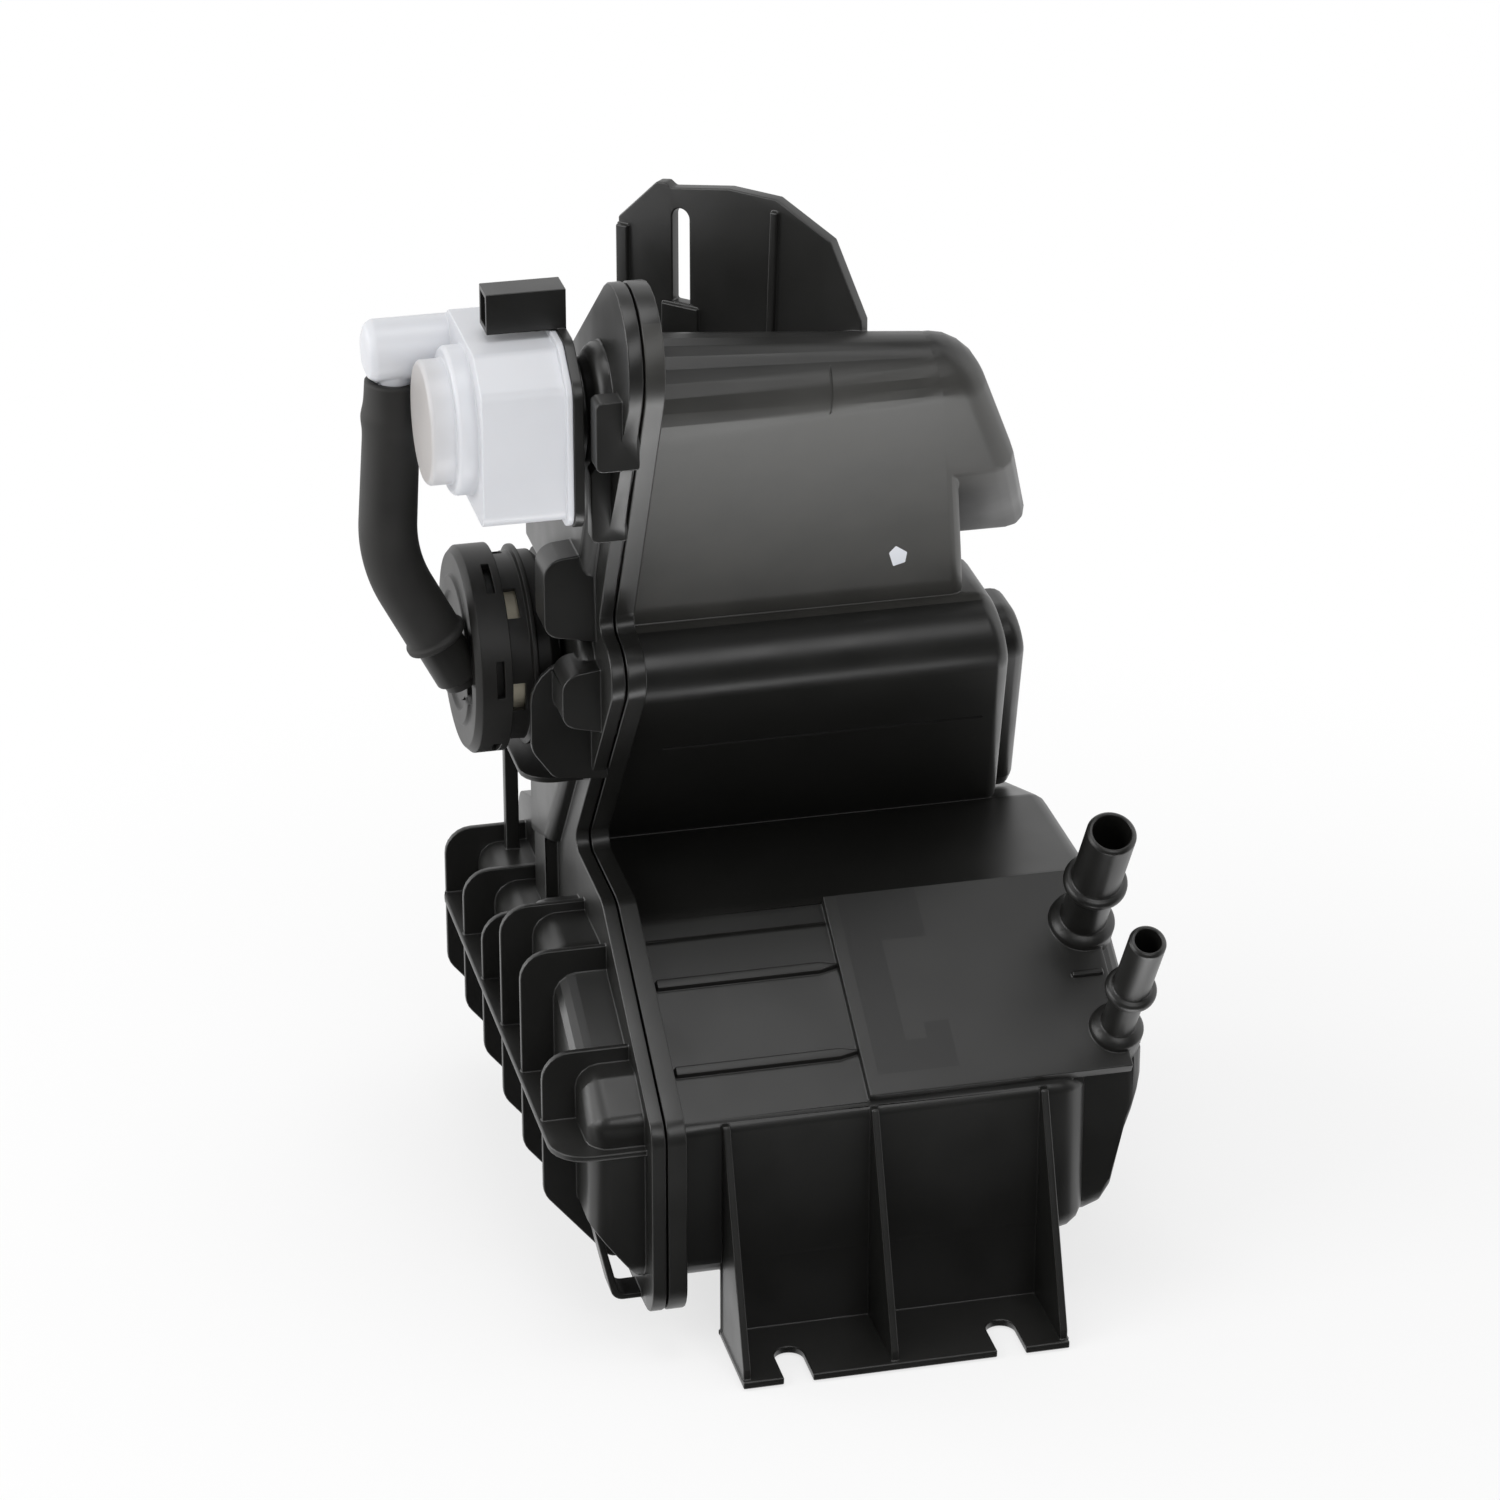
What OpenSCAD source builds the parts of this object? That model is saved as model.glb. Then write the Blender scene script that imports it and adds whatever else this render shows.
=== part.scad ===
// Charcoal canister: three stepped carbon chambers behind one weld flange, closed by a
// finned cover that carries a round air filter and a vent module joined by a hose.
// Drawn from the weld seam (X = 0, chambers on +X, cover on -X), from the front wall (Y = 0)
// and from the foot's underside (Z = 0), then moved so that the origin is the foot mount.

/* [Mouldings] */
// Wall of the body and the cover
wall = 2.5; // [2:0.1:3]
// Clearance around a piece that drops into a space
fit = 0.3; // [0.2:0.05:0.5]
// How far the weld flange stands out from the walls
flange_w = 8.5; // [7:0.5:10]
// Thickness of the body's flange
body_flange_t = 6; // [5:0.5:8]
// Thickness of the cover's flange
cover_flange_t = 5; // [4:0.5:6]
// Width of the groove left along the weld
seam_w = 0.6; // [0.4:0.1:1]

/* [Lower chamber] */
// Height of the chamber's floor above the foot's underside
base_z = 22; // [20:0.5:25]
// Depth from the front wall to the rear wall
lower_depth = 187.5; // [184:0.5:195]
// Height of the slanted face's lower edge
front_top_z = 76; // [73:0.5:79]
// Slope of the slanted face
slant = 32.5; // [31:0.5:34]
// Height of the flat top
lower_top_z = 117; // [115:0.5:119]
// Height of the rear edge
rear_top_z = 95; // [92:0.5:98]
// Length from the seam to the right end
lower_len = 157; // [155:0.5:162]
// Length of the front section
front_len = 137; // [132:0.5:140]
// Distance of the set-back section from the front wall
front_step = 9; // [8:0.5:10]

/* [Middle chamber] */
// Place of the valley under the chamber's front face
valley_y = 122.5; // [120:0.5:125]
// Place of the chamber's front edge
mid_front_y = 49.5; // [47:0.5:52]
// Height of the chamber's front edge
mid_front_z = 208.5; // [206:0.5:210]
// Length from the seam to the right end
middle_len = 123.5; // [120:0.5:127]
// Length of its rear section
middle_back_len = 133; // [130:0.5:136]
// Fall of the rear section's top below the chamber's
middle_back_drop = 11.5; // [10:0.5:13]
// Bevel along the rear of its right end
middle_cut = 54; // [50:0.5:58]
// Lean of the middle and upper chambers' right ends for each millimetre of height
end_lean = 0.19; // [0.15:0.01:0.2]
// Height of the parting groove across the front face
groove_z = 164.5; // [155:0.5:175]

/* [Upper chamber] */
// Place of the crease where the slanted wall starts
crease_y = 74.5; // [73:0.5:77]
// Height of that crease
crease_z = 212.5; // [211:0.5:215]
// Lean of the front wall from upright
wall_lean = 27.4; // [26:0.2:28.4]
// Slope of the roof
roof_slope = 37; // [36:0.5:38]
// Place of the rear wall
upper_depth = 152.5; // [150:0.5:156]
// Height of the rear edge
upper_rear_z = 245; // [243:0.5:248]
// Fall of the roof from the seam to the right end
roof_drop = 11.6; // [9:0.2:13]
// Length from the seam to the right end
upper_len = 104; // [102:0.5:108]
// Length to the end cap
upper_cap_len = 118; // [116:0.5:122]
// Lean of the end cap for each millimetre of height
cap_lean = 0.45; // [0.38:0.01:0.48]
// Height of the edge where the end cap turns under
upper_cap_z = 264; // [260:0.5:268]
// Nose radius at the seam
nose_r = 18.5; // [17:0.5:20]
// Nose radius at the right end
nose_end_r = 12.5; // [12:0.5:14]

/* [Ports] */
// Outer radius of the tank port
tank_r = 7.9; // [7.5:0.1:8.5]
// Place of the tank port from the seam
tank_x = 146; // [144:0.5:147]
// Place of the tank port up the slope
tank_s = 55.7; // [52:0.5:60]
// Outer radius of the purge port
purge_r = 5.9; // [5.5:0.1:6.5]
// Place of the purge port from the seam
purge_x = 148; // [145:0.5:149]
// Place of the purge port up the slope
purge_s = 16.5; // [15.5:0.5:20]
// Height of the ports above the platform
port_h = 54; // [48:0.5:60]
// Height of the bead above the platform
bead_h = 25; // [22:0.5:28]
// How far the bead stands out
bead_out = 2.3; // [1.8:0.1:3]
// Wall of the ports
port_wall = 1.8; // [1.5:0.1:2.2]
// Left edge of the platform
platform_x = 66; // [62:0.5:70]
// Right edge of the platform
platform_end_x = 150.5; // [148:0.5:153]
// Height of the platform
platform_t = 3; // [2:0.2:4]

/* [Foot bracket] */
// Thickness of the foot plate
foot_t = 2.5; // [2:0.1:3.5]
// Reach of the foot in front of the wall
foot_reach = 30; // [26:0.5:34]
// Left edge of the foot
foot_x = 18.5; // [16:0.5:19]
// Right edge of the foot
foot_end_x = 122.7; // [121:0.5:126]
// Width of the two screw notches
notch_w = 9.2; // [7:0.2:10]
// Distance between the notches
notch_pitch = 68; // [60:0.5:72]
// Middle of the two notches from the seam
foot_mid_x = 70; // [68:0.5:72]
// Distance of the screw centres from the front wall
screw_y = 17; // [14:0.5:19]
// Thickness of the gussets
gusset_t = 2.4; // [2:0.1:3]
// Height of the gussets
gusset_z = 76.5; // [70:0.5:78]

/* [Bracket plate] */
// Thickness of the slotted plate
plate_t = 4; // [3:0.2:5]
// Height of the plate's top edge
plate_top_z = 349; // [346:0.5:352]
// Width of the slot
slot_w = 6; // [5.8:0.1:7]
// Height of the slot's top
slot_top_z = 339.5; // [336:0.5:341]

/* [Cover] */
// Depth of the lower dome
lower_dome = 22; // [20:0.5:24]
// Depth of the middle and upper domes
flat_dome = 10; // [9:0.2:11]
// Reach of the fins
fin_out = 32.5; // [30:0.5:35]
// Thickness of the fins
fin_t = 2.2; // [1.8:0.1:3]
// Distance between the fins
fin_pitch = 32; // [31:0.2:32.4]
// Place of the first fin
fin_y = 24; // [22:0.5:25]
// Height of the long rib across the fins
rib_z = 70; // [66:0.5:74]

/* [Filter] */
// Place of the filter's middle
filter_y = 112; // [110:0.5:114]
// Height of the filter's middle
filter_z = 193; // [191:0.5:196]
// Radius of the filter case
filter_r = 29.5; // [28:0.5:30]
// Length of the filter case
filter_len = 22; // [20:0.5:24]
// Wall of the filter case and its cap
filter_wall = 2; // [1.6:0.1:2.4]
// Radius of the peg that snaps into the cover
peg_r = 8; // [7:0.1:9]
// Reach of the cap beyond the case
cap_t = 5.5; // [5:0.5:6]

/* [Vent module] */
// Front face of the white housing
module_y = 37; // [35:0.5:39]
// Depth of the white housing
module_d = 64; // [62:0.5:68]
// Height of the housing's underside
module_z = 264.5; // [262:0.5:267]
// Height of the housing
module_h = 51; // [50:0.5:54]
// Length of the housing
module_l = 27; // [25:0.5:29]
// Wall of the housing
module_wall = 2; // [1.6:0.1:2.4]
// Place of the round boss
boss_y = 63.5; // [61:0.5:64]
// Height of the round boss
boss_z = 290; // [289:0.5:291]
// Radius of the boss
boss_r = 18.8; // [18:0.2:19]
// Radius of the step under the boss
boss_step_r = 22.4; // [21.5:0.2:23]
// Reach of the boss
boss_l = 13.3; // [12:0.1:14]
// Radius of the hose nose
nose_tube_r = 9.5; // [9:0.1:10]
// Place of the hose nose
nose_tube_y = 92; // [91.5:0.5:94]
// Height of the hose nose
nose_tube_z = 303; // [302:0.5:304]
// Radius of the spigot that plugs into the cover
base_r = 10; // [9.6:0.1:10.6]
// Section radius of the spigot's sealing ring
seal_r = 1.2; // [1:0.1:1.4]
// Height of the connector
connector_h = 12.6; // [12:0.2:14]
// Depth of the connector
connector_d = 10.6; // [10:0.2:12]
// Length of the connector
connector_l = 24; // [22:0.5:26]
// Radius of the vent valve's disc
valve_r = 11; // [10.4:0.2:11.6]
// Radius of the valve's stem
stem_r = 3.5; // [3:0.1:4]
// Travel of the valve
valve_travel = 2; // [1.5:0.1:2.4]

/* [Hose] */
// Outer radius of the hose
hose_r = 9; // [8.6:0.1:9.2]
// Radius of the spigots it is pushed on
spigot_r = 6; // [5.5:0.1:6.2]
// How far the hose is pushed on
grip = 14; // [12:0.5:15]
// Distance of the hose from the seam at its upper end
hose_x = 60; // [59.6:0.1:61]
// Lean of the hose at its upper end
hose_lean = 3.5; // [3:0.1:4]
// Straight length from the nose to the bend
hose_drop = 55.5; // [54:0.5:57]
// Radius of the bend
bend_r = 45; // [43:0.5:46]
// Angle of the bend
bend_a = 31; // [30:0.2:32]
// Straight length after the bend
hose_end = 20; // [19:0.5:22]

/* [Inside] */
// Place of the grid plates from the seam
grid_x = 6; // [5:0.5:8]
// Thickness of the grid plates
grid_t = 3; // [2.4:0.1:3.4]
// Thickness of the felt pads
pad_t = 4; // [3:0.2:5]
// End of the lower carbon bed
lower_bed_x = 120; // [110:1:121]
// End of the middle and upper carbon beds
upper_bed_x = 84; // [76:1:85]
// Wire of the bed springs
wire = 1.8; // [1.4:0.1:2]
// Mean radius of the bed springs
spring_r = 9; // [8:0.5:10]

/* [Hidden] */
black = [0.11, 0.11, 0.11];
white = [0.85, 0.86, 0.9];
carbon = [0.05, 0.05, 0.05];
felt = [0.8, 0.78, 0.7];
paper = [0.75, 0.72, 0.62];
steel = [0.6, 0.6, 0.62];
rubber = [0.16, 0.15, 0.14];
lap = 2;
touch = 0.1;
shade = 0.8;
lower_end_r = 6;
tail_r = 10;
slant_y = (lower_top_z - front_top_z) / tan(slant);
mid_slope = (valley_y - mid_front_y) / (mid_front_z - lower_top_z);
waist_z = lower_top_z - (lower_top_z - rear_top_z) * (upper_depth - valley_y) / (lower_depth - valley_y);
platform_s0 = 3;
platform_s1 = slant_y / cos(slant) - 1;
boss_x = flat_dome + 4;
base_t = 3;
housing_x = boss_x + base_t;
housing_end = housing_x + module_l;
filter_x = flat_dome + 2;
cap_x = filter_x + filter_len;
cap_end = cap_x + cap_t;
hose_bore = spigot_r + fit;
bed_x = grid_x + grid_t + touch + pad_t + touch;
passage_x = flat_dome - wall - 0.6;
passage_y = valley_y + 9;
passage_w = 12;

// Unit vector of a plane vector.
function unit(v) = v / norm(v);

// Crossing point of the lines through p along d and through q along e.
function meet(p, d, q, e) = p + d * cross(q - p, e) / cross(d, e);

// Counter-clockwise outline of [y, z, radius] corners moved inwards by d.
function inset_path(p, d) = [for (i = [0:len(p) - 1])
    let (a = p[(i + len(p) - 1) % len(p)], b = p[i], c = p[(i + 1) % len(p)],
        e = unit([b.x - a.x, b.y - a.y]), f = unit([c.x - b.x, c.y - b.y]),
        n = [-e.y, e.x], m = [-f.y, f.x], k = d / (1 + n * m))
    [b.x + k * (n.x + m.x), b.y + k * (n.y + m.y), max(0.4, b[2] - sign(cross(e, f)) * d)]];

// Points of an outline whose [y, z, radius] corners are filleted.
function round_path(p) = [for (i = [0:len(p) - 1])
    let (a = p[(i + len(p) - 1) % len(p)], b = p[i], c = p[(i + 1) % len(p)],
        e = unit([b.x - a.x, b.y - a.y]), f = unit([c.x - b.x, c.y - b.y]),
        n = [-e.y, e.x], m = [-f.y, f.x], s = sign(cross(e, f)), r = b[2],
        turn = acos(min(1, n * m)), steps = max(1, ceil(turn / 15)),
        middle = [b.x, b.y] + s * r * (n + m) / (1 + n * m))
    for (k = [0:steps])
        let (q = s * turn * k / steps)
        middle - s * r * [n.x * cos(q) - n.y * sin(q), n.x * sin(q) + n.y * cos(q)]];

// Height of the slanted face above the place y.
function slant_z(y) = front_top_z + y * tan(slant);

// Outlines of the chambers in the Y-Z plane.
function lower_pts() = [[0, base_z, 8], [lower_depth, base_z, 10], [lower_depth, rear_top_z, 10],
    [valley_y, lower_top_z, 10], [slant_y, lower_top_z, 12], [0, front_top_z, 5]];
function main_pts(z0) = inset_path([[front_step, z0, 8], [lower_depth, z0, 10],
    [lower_depth, rear_top_z, 10], [valley_y, lower_top_z, 10], [slant_y, lower_top_z, 12],
    [front_step, slant_z(front_step), 4]], shade);
function front_pts() = [[0, base_z, 8], [60, base_z, 3], [60, slant_z(60), 3], [0, front_top_z, 5]];
function middle_pts(cut = 6) = [[valley_y + lap * 0.8, lower_top_z - lap, 3],
    [upper_depth, waist_z - lap, 3], [upper_depth, crease_z - cut, 3],
    [upper_depth - 0.9 * cut, crease_z, 3], [crease_y, crease_z, 10], [mid_front_y, mid_front_z, 14]];
function back_pts() = let (step = 15, top = crease_z - shade - middle_back_drop)
    [[valley_y + lap * 0.8 + step, lower_top_z - lap, 3], [upper_depth - shade, waist_z - lap, 3],
    [upper_depth - shade, top - middle_cut, 3], [upper_depth - 0.9 * middle_cut, top, 3],
    [mid_front_y + step - (top - mid_front_z) * 0.8, top, 10]];
function apex(drop) = meet([crease_y, crease_z], [-sin(wall_lean), cos(wall_lean)],
    [upper_depth, upper_rear_z - drop], [-cos(roof_slope), sin(roof_slope)]);
function upper_pts(x) = let (t = x / upper_len, drop = roof_drop * t, top = apex(drop))
    [[crease_y + lap * tan(wall_lean), crease_z - lap, 4], [upper_depth, crease_z - lap, 4],
    [upper_depth, upper_rear_z - drop, 10], [top.x, top.y, nose_r + (nose_end_r - nose_r) * t]];
function upper_fill_pts() = let (p = upper_pts(upper_len)) [p[0], p[1], p[2], [p[3].x, p[3].y, nose_r]];
function cap_pts() = let (top = apex(roof_drop), back = 8,
    low = crease_y - (upper_cap_z - crease_z) * tan(wall_lean))
    [[low, upper_cap_z, 12], [low + 50, upper_cap_z - 42, 8],
    [upper_depth - back, upper_rear_z - roof_drop + back * tan(roof_slope), 8], [top.x, top.y, nose_end_r]];
function flange_pts() = let (top = apex(0)) inset_path([[0, base_z, 3.5], [lower_depth, base_z, 3.5],
    [lower_depth, rear_top_z, 0.4], [upper_depth, waist_z, 14.5], [upper_depth, upper_rear_z, 5.5],
    [top.x, top.y, 13], [crease_y, crease_z, 12.5], [mid_front_y, mid_front_z, 1.5],
    [valley_y, lower_top_z, 12.5], [slant_y, lower_top_z, 0.4], [0, front_top_z, 0.4]], -flange_w);
function dome_pts() = [[1, base_z + 1, 8], [lower_depth - 1, base_z + 1, 10],
    [lower_depth - 1, rear_top_z - 5, 8], [(rear_top_z - 10 - front_top_z) / tan(slant), rear_top_z - 5, 3],
    [1, front_top_z + 5, 5]];
function hump_pts() = [[20, base_z + 30, 3], [valley_y - 20, base_z + 30, 3],
    [valley_y - 20, lower_top_z - 7, 6], [slant_y, lower_top_z - 7, 10], [20, slant_z(20) - 1, 3]];
function module_pts() = [[module_y, module_z, 5], [module_y + module_d, module_z, 5],
    [module_y + module_d, module_z + module_h - 9, 5], [module_y + module_d - 12, module_z + module_h, 5],
    [module_y + 12, module_z + module_h, 5], [module_y, module_z + module_h - 9, 5]];

// A node's place: the origin is the foot mount.
module placed() {
    translate([-foot_mid_x, screw_y, 0]) children();
}

// Y-Z outline drawn out from x0 to x1.
module slab(p, x0, x1) {
    translate([x0, 0, 0]) rotate([90, 0, 90]) linear_extrude(x1 - x0) polygon(round_path(p));
}

// X-Z outline drawn out from y0 to y1.
module sheet(p, y0, y1) {
    translate([0, y1, 0]) rotate([90, 0, 0]) linear_extrude(y1 - y0) polygon(round_path(p));
}

// Turned piece whose axis runs along -X from x, at y and z.
module turned(x, y, z) {
    translate([x, y, z]) rotate([0, -90, 0]) children();
}

// Solid through a list of [x, outline] sections that share their corners' angles. Every section
// but the first leans: it moves by lean for each millimetre below the height level.
module loft(sections, lean = 0, level = 0) {
    rings = [for (s = sections) round_path(s[1])];
    n = len(rings[0]);
    last = len(rings) - 1;
    polyhedron([for (i = [0:last], q = rings[i])
            [sections[i][0] + (i == 0 ? 0 : lean * (level - q.y)), q.x, q.y]],
        concat([[for (j = [0:n - 1]) j]], [[for (j = [0:n - 1]) last * n + n - 1 - j]],
            [for (i = [0:last - 1], j = [0:n - 1])
                [i * n + j, (i + 1) * n + j, (i + 1) * n + (j + 1) % n, i * n + (j + 1) % n]]));
}

// Sections of an end face whose edge is rounded over by r.
function end_sections(p, end_x, r) =
    [for (a = [0:22.5:90]) [end_x - r + r * sin(a), inset_path(p, r * (1 - cos(a)))]];

// Lobe that starts in the flange and ends in a rounded face.
module lobe(p, start_x, end_x, r, lean = 0, level = 0) {
    loft(concat([[start_x, p]], end_sections(p, end_x, r)), lean, level);
}

// The lower chamber's set-back section, whose end leans in towards the floor.
module lower_main() {
    loft(concat([[1, main_pts(base_z)], [lower_len - 18, main_pts(base_z)],
        [lower_len - 13, main_pts(base_z + 2)], [lower_len - 10, main_pts(base_z + 7)],
        [lower_len - 7.5, main_pts(base_z + 19)]],
        [for (a = [0:22.5:90]) [lower_len - lower_end_r * (1 - sin(a)),
            inset_path(main_pts(base_z + 26 + 16 * sin(a)), lower_end_r * (1 - cos(a)))]]));
}

// The middle chamber, whose rear edge is bevelled away beyond the upper chamber.
module middle_main() {
    loft(concat([[1, middle_pts()], [upper_len - 8, middle_pts()], [upper_len - 2, middle_pts(middle_cut)]],
        end_sections(middle_pts(middle_cut), middle_len, 5)), end_lean, mid_front_z);
}

// The upper chamber, whose roof falls towards the right end; in moves its faces inwards.
module upper_main(in, start_x, end_x, r, lean = 0, level = 0) {
    loft(concat([[start_x, inset_path(upper_pts(max(0, start_x)), in)]],
        end_sections(inset_path(upper_pts(end_x), in), end_x, r)), lean, level);
}

// A place on the slanted face: x from the seam, s up the slope, Z along the face's normal.
module on_slant(x, s) {
    translate([x, s * cos(slant), front_top_z + s * sin(slant)]) rotate([slant, 0, 0]) children();
}

// Outside of a hose port, with collar, neck, bead and rounded tip.
module port(r) {
    rotate_extrude($fn = 64) polygon([[0, -4], [r + 2.6, -4], [r + 2.6, platform_t + 2],
        [r + 1.2, platform_t + 3.4], [r - 0.5, platform_t + 4], [r - 0.5, platform_t + bead_h - 3.2],
        [r + bead_out - 0.7, platform_t + bead_h - 2], [r + bead_out, platform_t + bead_h - 1],
        [r + bead_out, platform_t + bead_h + 0.6], [r + bead_out - 0.8, platform_t + bead_h + 1.6],
        [r, platform_t + bead_h + 2], [r, platform_t + port_h - 1.2],
        [r - 0.4, platform_t + port_h - 0.35], [r - 1.2, platform_t + port_h], [0, platform_t + port_h]]);
}

// Platform, pointed ribs, step and ports on the slanted face.
module slanted_face() {
    on_slant(platform_x, platform_s0) translate([0, 0, -1.2])
        cube([platform_end_x - platform_x, platform_s1 - platform_s0, platform_t + 1.2]);
    for (s = [20, 51])
        on_slant(0, s) translate([0, 0, -1]) linear_extrude(3)
            polygon([[8, -1.6], [platform_x - 6, -1.6], [platform_x + 1.5, 0], [platform_x - 6, 1.6],
                [8, 1.6]]);
    on_slant(platform_end_x - 12, 36) translate([0, 0, platform_t - 1]) cube([10, 2, 2.4]);
    on_slant(tank_x, tank_s) port(tank_r);
    on_slant(purge_x, purge_s) port(purge_r);
}

// Foot plate with its skirt, bead and gussets; the notches are cut in canister_body.
module foot_bracket() {
    translate([foot_x, -foot_reach, 0]) cube([foot_end_x - foot_x, foot_reach + wall, foot_t]);
    translate([foot_x + 0.2, 0.4, 0.5]) cube([foot_end_x - foot_x - 0.4, wall, base_z + 10]);
    for (x = [foot_x + 0.3, foot_mid_x - 4.2, foot_end_x - gusset_t - 0.3])
        slab([[1, 1, 0.4], [1, gusset_z, 0.4], [-1.5, gusset_z, 1], [1.5 - foot_reach, foot_t + 3, 3],
            [1.5 - foot_reach, 1, 0.4]], x, x + gusset_t);
}

// Slotted plate on the roof, turned 45 degrees; s runs along it from its left edge.
module bracket_plate() {
    translate([15.5, 111.5, 0]) rotate([0, 0, -45]) {
        rotate([90, 0, 0]) linear_extrude(plate_t)
            polygon([[2, 266], [85.6, 303], [85.6, plate_top_z - 33], [74.7, plate_top_z - 10],
                [55.9, plate_top_z - 0.3], [39.2, plate_top_z], [19, plate_top_z - 3.4],
                [16.9, plate_top_z - 2], [13.7, plate_top_z - 2.5], [0, plate_top_z - 16]]);
        translate([0, -plate_t - 1.6, 266]) cube([4, plate_t + 1.6, plate_top_z - 284]);
        translate([0, -plate_t, 0]) rotate([90, 0, 0]) linear_extrude(1.4)
            polygon([[52.5, 290], [55, 290], [57, plate_top_z - 4], [54.5, plate_top_z - 4]]);
        translate([15.8, -plate_t - 1.2, 266]) cube([12.9, plate_t + 1.2, slot_top_z - 30.7 - 266]);
    }
}

module canister_body() {
    placed() color(black) difference() {
        union() {
            slab(flange_pts(), 0, body_flange_t);
            lower_main();
            lobe(front_pts(), 1, front_len, tail_r);
            middle_main();
            lobe(back_pts(), 60, middle_back_len, 4, end_lean, mid_front_z);
            upper_main(0, 1, upper_len, 5, end_lean, upper_cap_z + 5);
            lobe(inset_path(cap_pts(), 0.12), 60, upper_cap_len, 10, cap_lean, upper_cap_z + 15.6);
            slanted_face();
            foot_bracket();
            bracket_plate();
        }
        slab(inset_path(lower_pts(), wall + shade), -1, front_len - 12);
        slab(inset_path(main_pts(base_z), wall + 4), 60, lower_len - 15);
        slab(inset_path(main_pts(front_top_z - 16), wall + 4), 60, lower_len - 7);
        slab(inset_path(middle_pts(), wall), -1, upper_len - 11);
        slab(inset_path(middle_pts(middle_cut), wall), 60, middle_len - 9);
        slab(inset_path(back_pts(), wall + 2.4), 60, middle_back_len - wall - 3);
        upper_main(wall, -1, upper_len - wall - 4, 4);
        slab(inset_path(cap_pts(), wall + 4), 60, upper_cap_len - 18);
        translate([upper_bed_x + pad_t + 2, crease_y + 26, crease_z - 12])
            cube([upper_len - upper_bed_x - pad_t - 10, 36, 20]);
        on_slant(tank_x, tank_s) translate([0, 0, -9])
            cylinder(h = port_h + 20, r = tank_r - port_wall, $fn = 64);
        on_slant(purge_x, purge_s) translate([0, 0, -9])
            cylinder(h = port_h + 20, r = purge_r - port_wall, $fn = 64);
        for (x = [foot_mid_x - notch_pitch / 2, foot_mid_x + notch_pitch / 2]) {
            translate([x, -screw_y, -1]) cylinder(h = foot_t + 2, r = notch_w / 2, $fn = 48);
            translate([x - notch_w / 2, -foot_reach - 1, -1])
                cube([notch_w, foot_reach + 1 - screw_y, foot_t + 2]);
        }
        translate([15.5, 111.5, 0]) rotate([0, 0, -45]) {
            translate([22.3 - slot_w / 2, -plate_t - 2, slot_top_z - 30])
                cube([slot_w, plate_t + 4, 30 - slot_w / 2]);
            translate([22.3, 2, slot_top_z - slot_w / 2]) rotate([90, 0, 0])
                cylinder(h = plate_t + 4, r = slot_w / 2, $fn = 48);
        }
        translate([20, mid_front_y + (mid_front_z - groove_z) * mid_slope, groove_z])
            rotate([38.6, 0, 0]) translate([0, -2, -0.5]) cube([middle_len - 20, 2.6, 1]);
    }
}

// One upright fin of the cover at y, with a rounded top and a slanted lower edge.
module fin(y, top) {
    sheet([[0, base_z - 1, 1], [0, top, 1], [-fin_out, top, 9], [-fin_out, base_z + 24, 8],
        [-12, base_z - 1, 4]], y - fin_t / 2, y + fin_t / 2);
}

// Lower part of the cover: dome, hump, fins and the long rib that crosses them.
module cover_lower() {
    intersection() {
        mirror([1, 0, 0]) lobe(dome_pts(), 1, lower_dome, 7);
        sheet([[0, base_z - 4, 1], [0, lower_top_z + 20, 1], [-lower_dome - 5, lower_top_z + 20, 1],
            [-lower_dome - 5, base_z + 29, 8], [-6, base_z + 1, 4]], -20, lower_depth + 20);
    }
    mirror([1, 0, 0]) lobe(hump_pts(), 1, lower_dome, 7);
    for (i = [0:5])
        fin(fin_y + i * fin_pitch, i == 1 || i == 2 ? lower_top_z - 3.5 : rear_top_z);
    translate([0, 0, rib_z]) linear_extrude(2)
        polygon(round_path([[0, -2, 1], [0, lower_depth + 2, 1], [-fin_out - 1.2, lower_depth + 2, 10],
            [-fin_out - 1.2, -2, 12]]));
    sheet([[-1, base_z - 8, 1], [-1, base_z - 6, 0.6], [-12, base_z - 6, 3], [-18, base_z + 19, 0.6],
        [-20, base_z + 19, 0.6], [-14, base_z - 8, 4]], 8, 18);
}

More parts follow.
